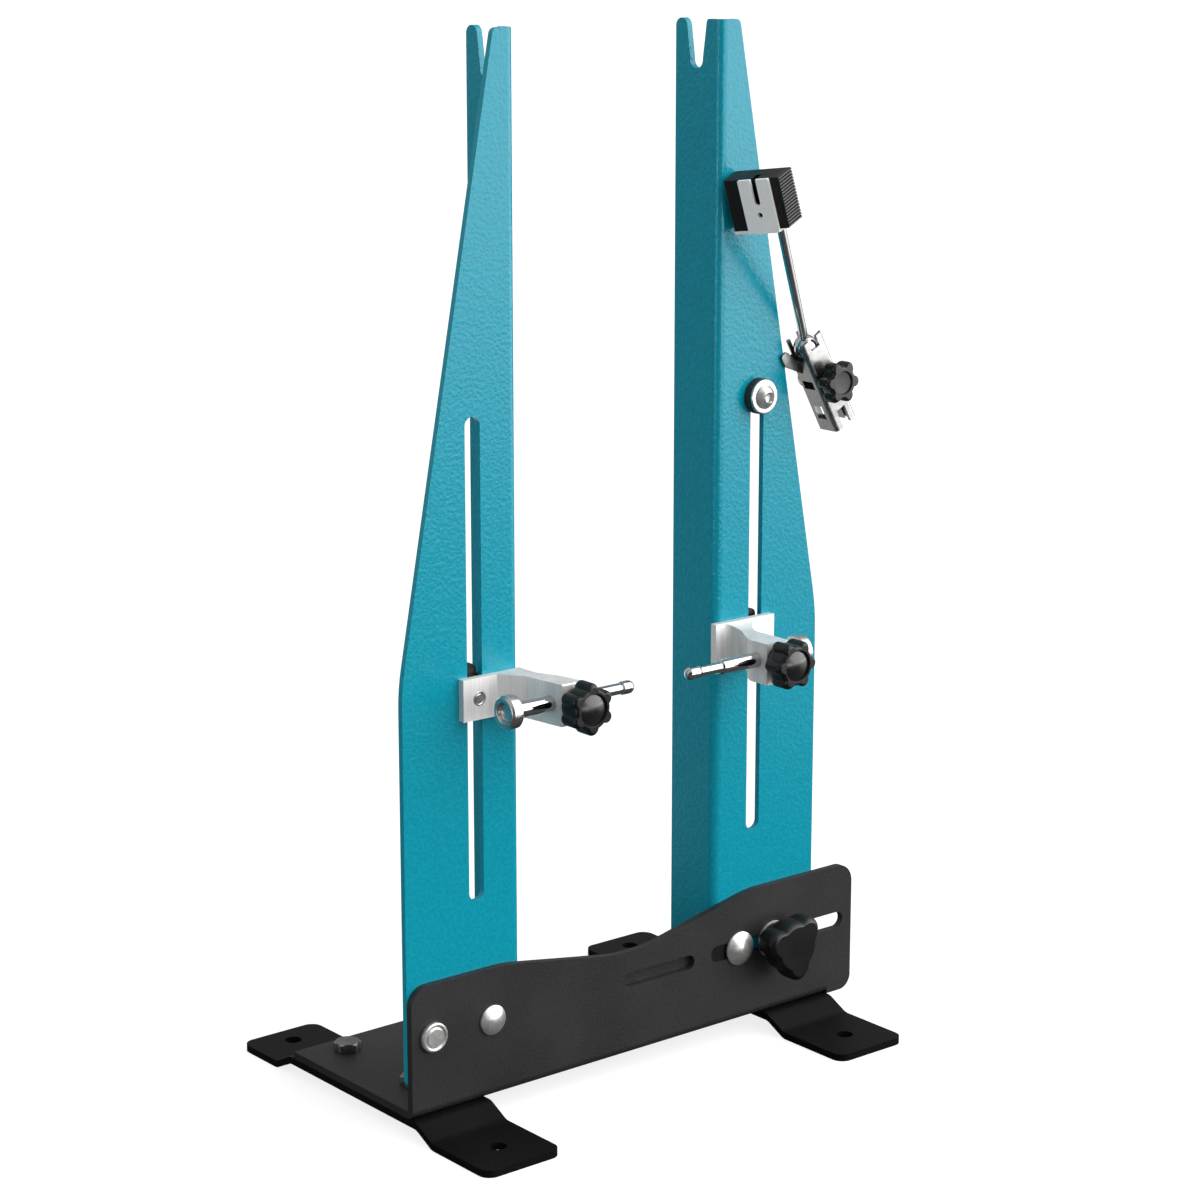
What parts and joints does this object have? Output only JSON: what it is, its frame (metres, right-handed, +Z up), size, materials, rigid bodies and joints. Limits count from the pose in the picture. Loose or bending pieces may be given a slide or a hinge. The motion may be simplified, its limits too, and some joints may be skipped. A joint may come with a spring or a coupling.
{
  "type": "bicycle wheel truing stand",
  "caption": "Bench stand with two uprights, one sliding, that holds a bicycle wheel by its axle while sliding feelers and a hinged gauge show where the rim runs out of true.",
  "frame": {"origin": "centre of the four bench holes, on the bench", "axes": "+X to the right along the front plate, +Y to the back, +Z up along the uprights"},
  "size_m": [0.231, 0.168, 0.419],
  "materials": {
    "teal_paint": "hammered gloss",
    "black_paint": "satin",
    "zinc_steel": "satin",
    "dark_steel": "satin",
    "arm_metal": "brushed",
    "chrome_steel": "polished",
    "black_plastic": "satin",
    "cap_plastic": "gloss",
    "brass_insert": "satin",
    "black_rubber": "matte"
  },
  "bodies": {
    "stand": {"base_plate": "black_paint", "left_foot_strip": "black_paint", "right_foot_strip": "black_paint", "foot_bolts": "dark_steel", "foot_nuts": "dark_steel", "left_upright": "teal_paint", "left_flat_bolt": "zinc_steel", "left_domed_bolt": "zinc_steel", "left_bolt_nuts": "zinc_steel", "slot_backing_strip": "black_paint"},
    "sliding_upright": {"right_upright": "teal_paint", "carriage_bolt": "zinc_steel", "carriage_bolt_nut": "zinc_steel", "carriage_slide_block": "black_plastic", "clamp_stud": "zinc_steel", "clamp_washer": "zinc_steel", "stop_bolt": "zinc_steel", "stop_washer": "zinc_steel", "stop_rubber": "black_rubber", "stop_nut": "zinc_steel"},
    "clamp_knob_body": {"clamp_knob": "black_plastic", "clamp_knob_insert": "brass_insert"},
    "left_carriage": {"left_feeler_arm": "arm_metal", "left_slot_runner": "black_plastic", "left_runner_pin": "zinc_steel", "left_set_screw": "dark_steel"},
    "right_carriage": {"right_feeler_arm": "arm_metal", "right_slot_runner": "black_plastic", "right_runner_pin": "zinc_steel"},
    "left_feeler": {"left_feeler_rod": "chrome_steel", "left_feeler_head": "chrome_steel"},
    "right_feeler": {"right_feeler_rod": "chrome_steel", "right_feeler_head": "chrome_steel"},
    "left_knob": {"left_star_knob": "black_plastic", "left_star_cap": "cap_plastic", "left_star_screw": "zinc_steel"},
    "right_knob": {"right_star_knob": "black_plastic", "right_star_cap": "cap_plastic", "right_star_screw": "zinc_steel"},
    "gauge_clamp": {"gauge_front_jaw": "zinc_steel", "gauge_rear_jaw": "zinc_steel", "gauge_jaw_screw": "zinc_steel"},
    "gauge_knob": {"gauge_clamp_knob": "black_plastic", "gauge_knob_insert": "brass_insert"},
    "gauge_ball_body": {"gauge_ball": "zinc_steel"},
    "gauge_arm": {"gauge_rod": "zinc_steel"},
    "gauge_head": {"gauge_block": "black_plastic", "gauge_plate": "zinc_steel", "gauge_grip": "black_plastic", "gauge_screw": "dark_steel"}
  },
  "joints": [
    {"name": "right_upright_slide", "type": "slide", "parent": "stand", "child": "sliding_upright", "axis": [1, 0, 0], "range_m": [0, 0.036]},
    {"name": "clamp_knob_turn", "type": "hinge", "parent": "sliding_upright", "child": "clamp_knob_body", "pos_m": [0.07665, -0.045, 0.04], "axis": [0, -1, 0], "continuous": true},
    {"name": "left_carriage_slide", "type": "slide", "parent": "stand", "child": "left_carriage", "axis": [0, 0, 1], "range_m": [-0.072, 0.094]},
    {"name": "right_carriage_slide", "type": "slide", "parent": "sliding_upright", "child": "right_carriage", "axis": [0, 0, 1], "range_m": [-0.072, 0.08]},
    {"name": "left_feeler_slide", "type": "slide", "parent": "left_carriage", "child": "left_feeler", "axis": [1, 0, 0], "range_m": [-0.02, 0.009]},
    {"name": "right_feeler_slide", "type": "slide", "parent": "right_carriage", "child": "right_feeler", "axis": [1, 0, 0], "range_m": [-0.007, 0.02]},
    {"name": "left_star_knob_turn", "type": "hinge", "parent": "left_carriage", "child": "left_knob", "pos_m": [-0.052, -0.075, 0.17], "axis": [0, -1, 0], "continuous": true},
    {"name": "right_star_knob_turn", "type": "hinge", "parent": "right_carriage", "child": "right_knob", "pos_m": [0.0514, -0.075, 0.17], "axis": [0, -1, 0], "continuous": true},
    {"name": "gauge_clamp_slide", "type": "slide", "parent": "sliding_upright", "child": "gauge_clamp", "axis": [-0.1835, 0, 0.983], "range_m": [-0.03, 0.05]},
    {"name": "gauge_clamp_knob_turn", "type": "hinge", "parent": "gauge_clamp", "child": "gauge_knob", "pos_m": [0.09916, -0.047, 0.27447], "axis": [0, -1, 0], "continuous": true},
    {"name": "gauge_side_swing", "type": "hinge", "parent": "gauge_clamp", "child": "gauge_ball_body", "pos_m": [0.09155, -0.039, 0.2882], "axis": [0, 1, 0], "range_deg": [-5, 5]},
    {"name": "gauge_forward_swing", "type": "hinge", "parent": "gauge_ball_body", "child": "gauge_arm", "pos_m": [0.09155, -0.039, 0.2882], "axis": [0.8746, 0, 0.4848], "range_deg": [0, 45]},
    {"name": "gauge_head_swivel", "type": "hinge", "parent": "gauge_arm", "child": "gauge_head", "pos_m": [0.061, -0.0562, 0.3411], "axis": [-0.4813, -0.2709, 0.8337], "range_deg": [-90, 90]}
  ]
}
